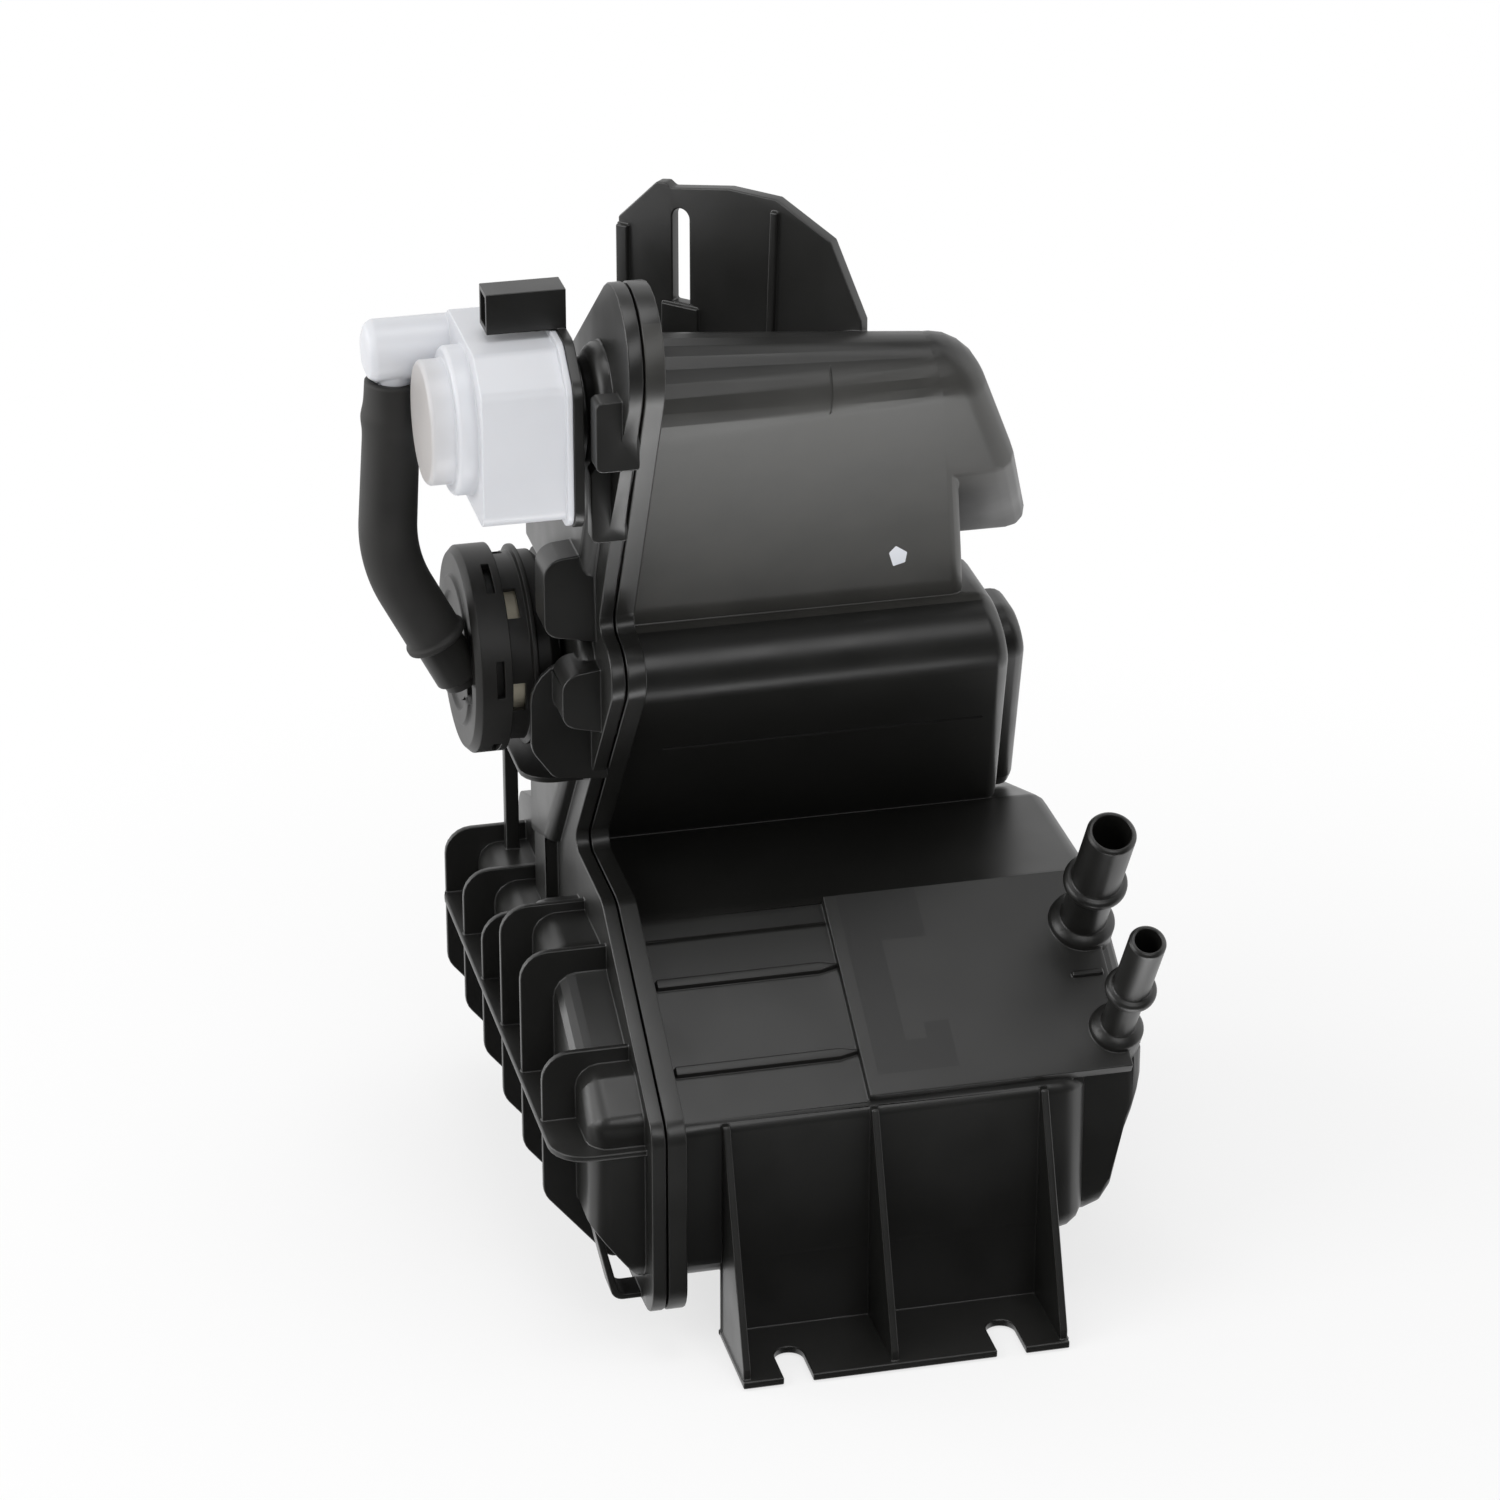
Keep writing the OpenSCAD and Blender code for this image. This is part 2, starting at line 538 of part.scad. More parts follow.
// Middle and upper parts of the cover: flat domes, pockets, ribs, strut, the box over the
// passage between the lower and middle chambers, and the two seats.
module cover_upper() {
    mirror([1, 0, 0]) lobe(inset_path(middle_pts(), 1), 1, flat_dome, 4);
    mirror([1, 0, 0]) upper_main(1, 1, flat_dome, 4);
    sheet([[0, 162, 1], [0, 205, 1], [-24, 202, 14], [-24, 174, 8], [-17, 164, 4]], 73, 73 + fin_t);
    sheet([[0, 184, 1], [0, 207, 1], [-17, 205, 6], [-17, 188, 5]], 58, 74);
    sheet([[0, 212, 1], [0, 243, 1], [-21, 241, 6], [-21, 216, 5]], 64, 78);
    sheet([[0, 286, 1], [0, 308, 1], [-13, 308, 2], [-13, 286, 2]], 22, 30);
    sheet([[0, 256, 1], [0, 280, 1], [-11, 280, 2], [-11, 256, 2]], 40, 46);
    translate([0, 0, 156]) linear_extrude(2)
        polygon(round_path([[0, 86, 1], [0, upper_depth - 2, 1], [-24, upper_depth - 2, 10],
            [-24, 86, 10]]));
    slab([[lower_depth - 13.5, rear_top_z - 12, 1], [lower_depth - 9.5, rear_top_z - 12, 1],
        [lower_depth - 9.5, rear_top_z + 46, 4], [upper_depth - 4.5, rear_top_z + 77, 1],
        [upper_depth - 6.5, rear_top_z + 73, 1], [lower_depth - 13.5, rear_top_z + 44, 4]], -13.5, -9);
    slab([[passage_y - wall, rear_top_z - 12, 1], [passage_y + passage_w + wall, rear_top_z - 12, 1],
        [passage_y + passage_w + wall, rear_top_z + 27, 1], [passage_y - wall, rear_top_z + 27, 1]],
        -passage_x - wall, -1);
    turned(-flat_dome + 2, filter_y, filter_z) cylinder(h = filter_x - flat_dome + 2, r = 20, $fn = 64);
    turned(-flat_dome + 2, boss_y, boss_z) cylinder(h = boss_x - flat_dome + 2, r = 16, $fn = 64);
}

module canister_cover() {
    placed() color(black) difference() {
        union() {
            slab(flange_pts(), -cover_flange_t, -seam_w);
            slab(inset_path(flange_pts(), 1.5), -cover_flange_t, 0);
            cover_lower();
            cover_upper();
        }
        difference() {
            mirror([1, 0, 0]) slab(inset_path(dome_pts(), wall + 2.4), -1, lower_dome - wall);
            sheet([[wall, base_z - 4, 0.4], [-lower_dome, base_z - 4, 0.4], [-lower_dome, base_z + 29, 0.4],
                [-4, base_z + 6.5, 0.4], [wall, base_z + 5, 0.4]], -20, lower_depth + 20);
        }
        mirror([1, 0, 0]) slab(inset_path(hump_pts(), wall + 2.4), -1, lower_dome - wall);
        mirror([1, 0, 0]) slab(inset_path(middle_pts(), wall + 1.6), -1, flat_dome - wall);
        mirror([1, 0, 0]) slab(inset_path(upper_pts(0), wall + 1.6), -1, flat_dome - wall);
        translate([-passage_x, passage_y, rear_top_z - 14]) cube([passage_x + 1, passage_w, 40]);
        turned(-flat_dome + wall + 1, boss_y, boss_z) cylinder(h = boss_x, r = base_r + fit, $fn = 64);
        turned(-flat_dome + wall + 1, filter_y, filter_z) cylinder(h = filter_x, r = peg_r + fit, $fn = 48);
    }
}

// Carbon packed between the pads of each chamber.
module lower_carbon_bed() {
    placed() color(carbon)
        slab(inset_path(lower_pts(), wall + shade + fit), bed_x, lower_bed_x);
}

module middle_carbon_bed() {
    placed() color(carbon) slab(inset_path(middle_pts(), wall + fit), bed_x, upper_bed_x);
}

module upper_carbon_bed() {
    placed() color(carbon) slab(inset_path(upper_fill_pts(), wall + fit), bed_x, upper_bed_x);
}

// Felt pads at the far end of each bed.
module lower_port_pad() {
    placed() color(felt)
        slab(inset_path(lower_pts(), wall + shade + fit), lower_bed_x + touch, lower_bed_x + pad_t);
}

module middle_end_pad() {
    placed() color(felt)
        slab(inset_path(middle_pts(), wall + fit), upper_bed_x + touch, upper_bed_x + pad_t);
}

module upper_end_pad() {
    placed() color(felt)
        slab(inset_path(upper_fill_pts(), wall + fit), upper_bed_x + touch, upper_bed_x + pad_t);
}

// Felt pads between the grid plates and the beds.
module lower_bed_pad() {
    placed() color(felt)
        slab(inset_path(lower_pts(), wall + shade + fit), bed_x - touch - pad_t, bed_x - touch);
}

module middle_bed_pad() {
    placed() color(felt) slab(inset_path(middle_pts(), wall + fit), bed_x - touch - pad_t, bed_x - touch);
}

module upper_bed_pad() {
    placed() color(felt)
        slab(inset_path(upper_fill_pts(), wall + fit), bed_x - touch - pad_t, bed_x - touch);
}

// Pressure plate with rows of square windows between y0, z0 and y1, z1.
module grid_plate(p, y0, z0, y1, z1) {
    difference() {
        slab(p, grid_x, grid_x + grid_t);
        for (y = [y0:14:y1], z = [z0:14:z1])
            translate([grid_x - 1, y, z]) cube([grid_t + 2, 8, 8]);
    }
}

module lower_grid_plate() {
    placed() color(black)
        grid_plate(inset_path(lower_pts(), wall + shade + fit), 14, base_z + 12, lower_depth - 20,
            base_z + 50);
}

module middle_grid_plate() {
    placed() color(black)
        grid_plate(inset_path(middle_pts(), wall + fit), crease_y + 14, crease_z - 42, upper_depth - 20,
            crease_z - 16);
}

module upper_grid_plate() {
    placed() color(black)
        grid_plate(inset_path(upper_fill_pts(), wall + fit), crease_y, crease_z + 12, upper_depth - 52,
            crease_z + 48);
}

// Coil of round wire along -X from x, with the given length and number of turns.
module coil(x, y, z, length, radius, thickness, turns) {
    around = 6;
    steps = turns * 12;
    rise = (length - thickness) / steps;
    ring = [for (i = [0:steps], j = [0:around - 1])
        let (a = i * 30, b = j * 360 / around, q = radius + thickness / 2 * cos(b))
        [x - thickness / 2 - i * rise - thickness / 2 * sin(b), y + q * cos(a), z + q * sin(a)]];
    polyhedron(ring, concat(
        [[for (j = [0:around - 1]) around - 1 - j]],
        [[for (j = [0:around - 1]) steps * around + j]],
        [for (i = [0:steps - 1], j = [0:around - 1])
            [i * around + j, i * around + (j + 1) % around,
            (i + 1) * around + (j + 1) % around, (i + 1) * around + j]]));
}

// Like springs between the lower grid plate and the dome.
module bed_springs() {
    placed() color(steel) for (y = [lower_depth * 0.25, lower_depth * 0.5, lower_depth * 0.75])
        coil(grid_x - touch, y, base_z + 36, grid_x + lower_dome - wall - 2 * touch, spring_r, wire, 4);
}

// Drum of the air filter, with a peg that snaps into the cover and three inlet windows.
module filter_case() {
    placed() color(black) difference() {
        union() {
            turned(-filter_x, filter_y, filter_z) rotate_extrude($fn = 96)
                polygon([[0, 0], [filter_r - 3, 0], [filter_r, 3], [filter_r, filter_len],
                    [filter_r - filter_wall, filter_len], [filter_r - filter_wall, filter_wall],
                    [0, filter_wall]]);
            turned(-filter_x, filter_y, filter_z) rotate_extrude($fn = 96)
                polygon([[filter_r - 1, 7], [filter_r + 2, 7.6], [filter_r + 2, 9], [filter_r - 1, 9.6]]);
            turned(-filter_x + 4, filter_y, filter_z) cylinder(h = 5, r = peg_r, $fn = 48);
        }
        for (a = [20:60:320])
            turned(-filter_x, filter_y, filter_z) rotate([0, 0, a])
                translate([filter_r - 6, -5, 11.5]) cube([10, 10, 5]);
    }
}

// A place at the hose's lower end, with -Z along the hose.
module at_hose_end() {
    translate([bend_r * (1 - cos(bend_a)), 0, -hose_drop - bend_r * sin(bend_a)])
        rotate([0, -bend_a, 0]) children();
}

// A place at the hose's upper end on the nose's axis, with -Z along the hose.
module at_hose_start() {
    translate([-hose_x, nose_tube_y, nose_tube_z]) rotate([0, hose_lean, 0]) children();
}

// Cap of the air filter with rim, snap windows, raised ring and the angled hose nipple.
module filter_cap() {
    placed() color(black) difference() {
        union() {
            turned(-cap_x + 6, filter_y, filter_z) rotate_extrude($fn = 96)
                polygon([[0, 6 + cap_t - filter_wall], [filter_r + fit, 6 + cap_t - filter_wall],
                    [filter_r + fit, 0], [filter_r + 3.2, 0], [filter_r + 3.2, cap_t + 4],
                    [filter_r + 1.2, cap_t + 6], [24, cap_t + 6], [23.4, cap_t + 7], [19, cap_t + 7],
                    [18.4, cap_t + 6], [0, cap_t + 6]]);
            at_hose_start() at_hose_end() translate([0, 0, -hose_end - 17])
                cylinder(h = 17 + grip, r = spigot_r, $fn = 48);
            at_hose_start() at_hose_end() translate([0, 0, -hose_end - 14])
                cylinder(h = 13.5, r = spigot_r + 1.6, $fn = 48);
        }
        at_hose_start() at_hose_end() translate([0, 0, -hose_end - 24])
            cylinder(h = 30 + grip, r = spigot_r - 1.7, $fn = 48);
        turned(-cap_x + 1, filter_y, filter_z)
            cylinder(h = cap_t + 1 - filter_wall, r = filter_r - filter_wall, $fn = 96);
        for (a = [35:60:335])
            turned(-cap_x + 6, filter_y, filter_z) rotate([0, 0, a])
                translate([filter_r - 1, -6, 2.5]) cube([8, 12, 2.4]);
    }
}

// Filter ring inside the drum.
module filter_element() {
    placed() color(paper) turned(-filter_x - filter_wall - touch, filter_y, filter_z) difference() {
        cylinder(h = filter_len - filter_wall - 1, r = filter_r - filter_wall - 2.5, $fn = 72);
        translate([0, 0, -1]) cylinder(h = filter_len + 2, r = filter_r - 17, $fn = 48);
    }
}

// Flat sealing ring between the element and the cap.
module filter_seal() {
    placed() color(rubber) turned(-filter_x - filter_len + 1 - 2 * touch, filter_y, filter_z) difference() {
        cylinder(h = 2.5, r = filter_r - filter_wall - 2.5, $fn = 72);
        translate([0, 0, -1]) cylinder(h = 5, r = filter_r - 17, $fn = 48);
    }
}

// Height of the connector's underside, just above the housing's rim.
connector_z = module_z + module_h + 2.4;

// Base of the vent module: plate, spigot into the cover, valve seat and connector shroud.
module module_base() {
    placed() color(black) difference() {
        union() {
            slab(inset_path(module_pts(), -2.6), -housing_x, -boss_x);
            turned(-boss_x + 9, boss_y, boss_z) cylinder(h = 10, r = base_r, $fn = 64);
            turned(-housing_x + 0.5, boss_y, boss_z) cylinder(h = 3.5, r = 9.4, $fn = 64);
            translate([-boss_x - connector_l, boss_y - connector_d / 2, connector_z])
                cube([connector_l, connector_d, connector_h]);
            translate([-housing_x, boss_y - connector_d / 2, connector_z - 6])
                cube([base_t, connector_d, 8]);
        }
        turned(-boss_x + 10, boss_y, boss_z) cylinder(h = 30, r = base_r - 4, $fn = 64);
        turned(-boss_x + 5, boss_y, boss_z) rotate_extrude($fn = 64)
            translate([base_r + fit - 2 * seal_r - 2 * touch, -seal_r - touch])
                square([4, 2 * seal_r + 2 * touch]);
        translate([-boss_x - connector_l - 1, boss_y - connector_d / 2 + 1.6, connector_z + 1.6])
            cube([connector_l - 3, connector_d - 3.2, connector_h - 3.2]);
    }
}

// White cap of the vent module: chamfered box, stepped round boss and the hose nose.
module module_housing() {
    placed() color(white) difference() {
        union() {
            slab(module_pts(), -housing_end, -housing_x);
            slab(inset_path(module_pts(), -2), -housing_x - 2, -housing_x);
            turned(-housing_end + 1, boss_y, boss_z) rotate_extrude($fn = 96)
                polygon([[0, 0], [boss_step_r, 0], [boss_step_r, 6], [boss_step_r - 1, 7], [boss_r, 7],
                    [boss_r, boss_l], [boss_r - 1, boss_l + 1], [0, boss_l + 1]]);
            turned(-housing_end + 2, nose_tube_y, nose_tube_z) rotate_extrude($fn = 72)
                polygon([[0, 0], [nose_tube_r, 0], [nose_tube_r, hose_x - housing_end + 8.4],
                    [nose_tube_r - 1.2, hose_x - housing_end + 10.4],
                    [nose_tube_r - 4, hose_x - housing_end + 11.4], [0, hose_x - housing_end + 11.6]]);
            at_hose_start() translate([0, 0, -nose_tube_r - grip])
                cylinder(h = grip + nose_tube_r, r = spigot_r, $fn = 48);
        }
        slab(inset_path(module_pts(), module_wall), -housing_end + module_wall, -housing_x + 1);
        turned(-housing_end + 6, boss_y, boss_z)
            cylinder(h = boss_l + 4, r = boss_r - module_wall, $fn = 96);
        turned(-housing_end + 6, nose_tube_y, nose_tube_z)
            cylinder(h = hose_x - housing_end + 12.4, r = min(spigot_r, nose_tube_r - 3), $fn = 48);
        at_hose_start() translate([0, 0, -nose_tube_r - grip - 1])
            cylinder(h = grip + nose_tube_r, r = spigot_r - 1.7, $fn = 48);
    }
}

// Sealing ring in the groove of the base's spigot.
module module_seal() {
    placed() color(rubber) turned(-boss_x + 5, boss_y, boss_z) rotate_extrude($fn = 64)
        translate([base_r + fit - seal_r - touch, 0]) circle(r = seal_r, $fn = 32);
}

// Sensing diaphragm on the base, with a hole for the valve seat.
module diaphragm() {
    placed() color(rubber) difference() {
        slab(inset_path(module_pts(), module_wall + fit), -housing_x - touch - 0.8, -housing_x - touch);
        turned(-housing_x + 2, boss_y, boss_z) cylinder(h = 5, r = 9.4 + 0.5, $fn = 64);
    }
}

// Coil that fills the boss, with a bore for the valve's stem.
coil_x = housing_end - 9;
coil_end = housing_end + boss_l - module_wall - 2;
module solenoid_coil() {
    placed() color([0.5, 0.28, 0.12]) turned(-coil_x, boss_y, boss_z) difference() {
        cylinder(h = coil_end - coil_x, r = boss_r - module_wall - fit, $fn = 72);
        translate([0, 0, -1]) cylinder(h = coil_end - coil_x + 2, r = stem_r + fit, $fn = 48);
    }
}

// Valve disc on its stem; it lifts along -X off the seat.
valve_x = housing_x + 3 + touch;
module vent_valve() {
    placed() color(rubber) turned(-valve_x, boss_y, boss_z) rotate_extrude($fn = 64)
        polygon([[0, 0], [valve_r, 0], [valve_r, 1.4], [stem_r + 1, 2], [stem_r, 2.6],
            [stem_r, coil_end - valve_x - valve_travel - 1], [0, coil_end - valve_x - valve_travel - 1]]);
}

// Spring that closes the valve, around the stem.
module valve_spring() {
    placed() color(steel)
        coil(-valve_x - 2 - fit, boss_y, boss_z, coil_x - valve_x - 2 - 2 * fit, stem_r + 3, 0.9, 4);
}

// Terminal blades in the connector's mouth.
module connector_pins() {
    placed() color(steel) for (k = [-1, 0, 1])
        translate([-boss_x - connector_l + 8, boss_y - 1.1, connector_z + connector_h / 2 + k * 2.8 - 0.4])
            cube([connector_l - 12, 2.2, 0.8]);
}

// Heading of the hose in the X-Z plane at the angle q from straight down, and its normal.
function heading(q) = [sin(q), 0, -cos(q)];
function aside(q) = [cos(q), 0, sin(q)];

// Sections [place, angle] of the hose from the nose through its bend to the filter cap.
function hose_sections() = let (top = [-hose_x, nose_tube_y, nose_tube_z],
    turn = top + hose_drop * heading(-hose_lean) + bend_r * aside(-hose_lean), last = bend_a - hose_lean)
    concat([[top + (nose_tube_r + fit) * heading(-hose_lean), -hose_lean]],
        [for (k = [0:6]) let (q = bend_a * k / 6 - hose_lean) [turn - bend_r * aside(q), q]],
        [[turn - bend_r * aside(last) + hose_end * heading(last), last]]);

// Points of a hose section at radius r.
function hose_ring(s, r) = [for (j = [0:35])
    s[0] + r * (cos(j * 10) * aside(s[1]) + sin(j * 10) * [0, 1, 0])];

module air_hose() {
    path = hose_sections();
    last = len(path) - 1;
    inner = 36 * (last + 1);
    placed() color(rubber) polyhedron(
        concat([for (s = path, q = hose_ring(s, hose_r)) q],
            [for (s = path, q = hose_ring(s, hose_bore)) q]),
        [for (i = [0:last - 1], j = [0:35], in = [0, 1]) let (k = (j + 1) % 36, o = in * inner)
            in == 1 ? [o + i * 36 + k, o + i * 36 + 36 + k, o + i * 36 + 36 + j, o + i * 36 + j]
            : [i * 36 + j, i * 36 + 36 + j, i * 36 + 36 + k, i * 36 + k],
        for (j = [0:35]) let (k = (j + 1) % 36) [j, k, inner + k, inner + j],
        for (j = [0:35]) let (k = (j + 1) % 36)
            [last * 36 + k, last * 36 + j, inner + last * 36 + j, inner + last * 36 + k]]);
}

canister_body();
canister_cover();
lower_carbon_bed();
middle_carbon_bed();
upper_carbon_bed();
lower_port_pad();
middle_end_pad();
upper_end_pad();
lower_bed_pad();
middle_bed_pad();
upper_bed_pad();
lower_grid_plate();
middle_grid_plate();
upper_grid_plate();
bed_springs();
filter_case();
filter_cap();
filter_element();
filter_seal();
module_base();
module_housing();
module_seal();
diaphragm();
solenoid_coil();
vent_valve();
valve_spring();
connector_pins();
air_hose();
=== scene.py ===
# Charcoal canister: the finish of every piece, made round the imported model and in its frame, in metres.
from math import radians

import bmesh
import bpy
import numpy as np
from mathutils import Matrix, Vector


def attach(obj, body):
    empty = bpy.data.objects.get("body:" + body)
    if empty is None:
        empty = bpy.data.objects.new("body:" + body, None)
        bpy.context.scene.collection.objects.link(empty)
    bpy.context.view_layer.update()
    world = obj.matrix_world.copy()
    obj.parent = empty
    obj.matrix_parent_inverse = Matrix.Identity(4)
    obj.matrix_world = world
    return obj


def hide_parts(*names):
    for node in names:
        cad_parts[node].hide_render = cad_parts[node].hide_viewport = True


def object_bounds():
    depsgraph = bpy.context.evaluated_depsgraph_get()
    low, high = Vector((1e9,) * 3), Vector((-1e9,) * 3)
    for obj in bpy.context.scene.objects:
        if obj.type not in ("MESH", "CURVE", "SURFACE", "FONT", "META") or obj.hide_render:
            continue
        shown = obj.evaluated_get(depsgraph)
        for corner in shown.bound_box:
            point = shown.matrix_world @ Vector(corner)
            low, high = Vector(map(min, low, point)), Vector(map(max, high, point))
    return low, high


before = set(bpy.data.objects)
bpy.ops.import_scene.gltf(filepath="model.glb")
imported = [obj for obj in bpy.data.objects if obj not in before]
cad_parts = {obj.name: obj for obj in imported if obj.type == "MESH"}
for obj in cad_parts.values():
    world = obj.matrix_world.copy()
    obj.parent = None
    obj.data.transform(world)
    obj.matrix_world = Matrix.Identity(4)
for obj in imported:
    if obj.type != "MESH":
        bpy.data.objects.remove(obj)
cad_low, cad_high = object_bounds()
scene = bpy.context.scene
scene.view_settings.view_transform = "Standard"

# Camera
# A long lens stands at the left front and looks down on the canister.
# The picture is square, with the canister in its middle.
camera_place = (-0.38552, -1.41247, 0.90388)
camera_turn = radians(-13.5)
camera_dip = radians(25.5)

camera_data = bpy.data.cameras.new("camera")
camera_data.lens = 132
camera_data.sensor_width = 36
camera = bpy.data.objects.new("camera", camera_data)
camera.location = camera_place
camera.rotation_euler = (radians(90) - camera_dip, 0, camera_turn)
scene.collection.objects.link(camera)
scene.camera = camera

# Stage
# A round white light table lies under the foot and fades into a white surround.
# Soft boxes hang over and beside the canister, and a dark card bends round the camera's side.
floor_drop = 0.0006
floor_radius = 3.0
fade_start = 0.2
fade_end = 0.55
fade_near = 0.7
surround_strength = 0.55
lamp_target = np.array([0.02, 0.06, 0.17])
card_turns = np.radians(np.linspace(-160, -30, 24))
card_rises = np.radians(np.linspace(-62, 125, 24))
card_radius = 2.4


def grid_mesh(name, points, close_u=False, close_v=False):
    """Mesh of a grid of points: each cell between neighbours along u and v is one face, a closed
    direction joins its last row to its first, and a row that shrinks to one point is welded."""
    rows, columns = points.shape[:2]
    u = np.arange(rows if close_u else rows - 1)
    v = np.arange(columns if close_v else columns - 1)
    u, v = (a.ravel() for a in np.meshgrid(u, v, indexing="ij"))
    next_u = (u + 1) % rows
    next_v = (v + 1) % columns
    faces = np.stack([u * columns + v, next_u * columns + v, next_u * columns + next_v,
                      u * columns + next_v], axis=1)
    mesh = bpy.data.meshes.new(name)
    mesh.from_pydata(points.reshape(-1, 3).tolist(), [], faces.tolist())
    work = bmesh.new()
    work.from_mesh(mesh)
    bmesh.ops.remove_doubles(work, verts=work.verts, dist=1e-7)
    bmesh.ops.recalc_face_normals(work, faces=work.faces)
    work.to_mesh(mesh)
    work.free()
    return mesh


def new_object(name, mesh):
    """Object of a mesh, linked to the scene at the origin."""
    piece = bpy.data.objects.new(name, mesh)
    scene.collection.objects.link(piece)
    return piece


def new_material(name):
    """Empty node material: its node tree and its output node."""
    material = bpy.data.materials.new(name)
    material.use_nodes = True
    tree = material.node_tree
    tree.nodes.clear()
    return material, tree, tree.nodes.new("ShaderNodeOutputMaterial")


def seen_directly(tree):
    """Mask that is 1 for camera, glossy and transmission rays."""
    path = tree.nodes.new("ShaderNodeLightPath")
    first = tree.nodes.new("ShaderNodeMath")
    first.operation = "MAXIMUM"
    second = tree.nodes.new("ShaderNodeMath")
    second.operation = "MAXIMUM"
    tree.links.new(path.outputs["Is Camera Ray"], first.inputs[0])
    tree.links.new(path.outputs["Is Glossy Ray"], first.inputs[1])
    tree.links.new(first.outputs[0], second.inputs[0])
    tree.links.new(path.outputs["Is Transmission Ray"], second.inputs[1])
    return second.outputs[0]


def floor_material():
    """White matt floor near the canister, which takes its shadow, and plain white further out."""
    material, tree, output = new_material("floor_white")
    place = tree.nodes.new("ShaderNodeTexCoord")
    reach = tree.nodes.new("ShaderNodeVectorMath")
    reach.operation = "LENGTH"
    fade = tree.nodes.new("ShaderNodeMapRange")
    fade.interpolation_type = "SMOOTHSTEP"
    fade.inputs["From Min"].default_value = fade_start
    fade.inputs["From Max"].default_value = fade_end
    fade.inputs["To Min"].default_value = fade_near
    both = tree.nodes.new("ShaderNodeMath")
    both.operation = "MULTIPLY"
    matt = tree.nodes.new("ShaderNodeBsdfDiffuse")
    matt.inputs["Color"].default_value = (0.93, 0.93, 0.93, 1)
    glow = tree.nodes.new("ShaderNodeEmission")
    mix = tree.nodes.new("ShaderNodeMixShader")
    tree.links.new(place.outputs["Object"], reach.inputs[0])
    tree.links.new(reach.outputs["Value"], fade.inputs["Value"])
    tree.links.new(fade.outputs["Result"], both.inputs[0])
    tree.links.new(seen_directly(tree), both.inputs[1])
    tree.links.new(both.outputs[0], mix.inputs["Fac"])
    tree.links.new(matt.outputs[0], mix.inputs[1])
    tree.links.new(glow.outputs[0], mix.inputs[2])
    tree.links.new(mix.outputs[0], output.inputs["Surface"])
    return material


def disc(radius, height):
    """Flat disc: points at polar steps from the middle outwards."""
    reach, turn = np.meshgrid(np.linspace(0, radius, 24), np.linspace(0, 2 * np.pi, 65)[:-1],
                              indexing="ij")
    return np.stack([reach * np.cos(turn), reach * np.sin(turn), np.full_like(reach, height)], axis=2)


floor = new_object("floor", grid_mesh("floor", disc(floor_radius, cad_low.z - floor_drop), close_v=True))
floor.data.materials.append(floor_material())
floor.visible_glossy = False
floor.visible_shadow = False

world = bpy.data.worlds.new("white_surround")
scene.world = world
world.use_nodes = True
surround = world.node_tree
surround.nodes.clear()
surround_output = surround.nodes.new("ShaderNodeOutputWorld")
surround_mix = surround.nodes.new("ShaderNodeMixShader")
surround_light = surround.nodes.new("ShaderNodeBackground")
surround_light.inputs["Color"].default_value = (1, 1, 1, 1)
surround_light.inputs["Strength"].default_value = surround_strength
surround_seen = surround.nodes.new("ShaderNodeBackground")
surround_seen.inputs["Color"].default_value = (1, 1, 1, 1)
surround.links.new(seen_directly(surround), surround_mix.inputs["Fac"])
surround.links.new(surround_light.outputs[0], surround_mix.inputs[1])
surround.links.new(surround_seen.outputs[0], surround_mix.inputs[2])
surround.links.new(surround_mix.outputs[0], surround_output.inputs["Surface"])


def soft_box(name, place, size, power):
    """Square area lamp at a place, turned to the canister."""
    data = bpy.data.lights.new(name, "AREA")
    data.size = size
    data.energy = power
    lamp = bpy.data.objects.new(name, data)
    lamp.location = place
    away = lamp.location.copy()
    away.x, away.y, away.z = np.asarray(place) - lamp_target
    lamp.rotation_euler = away.to_track_quat("Z", "Y").to_euler()
    scene.collection.objects.link(lamp)
    return lamp


soft_box("top_box", (-0.1, -0.05, 1.5), 0.6, 4)
soft_box("front_box", (0.15, -1.2, 1.0), 0.7, 4.2)
soft_box("left_box", (-1.3, -0.3, 0.9), 0.9, 6.5)
soft_box("right_box", (1.3, 0.1, 0.8), 0.9, 1)
soft_box("rim_box", (-1.2, 0.75, 0.45), 0.6, 4)

# Light table's lamp
# A strip under the table, in front of the foot, that shines straight up in a narrow fan.
# It lights what leans over the table, such as the upper chamber's front wall.
strip_place = (0.0, -0.1, cad_low.z - 0.02)

strip_data = bpy.data.lights.new("table_strip", "AREA")
strip_data.shape = "RECTANGLE"
strip_data.size = 0.3
strip_data.size_y = 0.14
strip_data.spread = radians(86)
strip_data.energy = 0.3
strip = bpy.data.objects.new("table_strip", strip_data)
strip.location = strip_place
strip.rotation_euler = (radians(180), 0, 0)
strip.visible_camera = False
scene.collection.objects.link(strip)


def bent_card():
    """Card bent round the camera's side: the part of a wide sphere between two turns and two heights."""
    turn, rise = np.meshgrid(card_turns, card_rises, indexing="ij")
    ball = np.stack([np.cos(turn) * np.cos(rise), np.sin(turn) * np.cos(rise), np.sin(rise)], axis=2)
    return lamp_target + card_radius * ball


card = new_object("card", grid_mesh("card", bent_card()))
card_material, card_tree, card_output = new_material("card_black")
card_matt = card_tree.nodes.new("ShaderNodeBsdfDiffuse")
card_matt.inputs["Color"].default_value = (0.03, 0.03, 0.03, 1)
card_tree.links.new(card_matt.outputs[0], card_output.inputs["Surface"])
card.data.materials.append(card_material)
card.visible_camera = False
card.visible_shadow = False
card.visible_diffuse = False

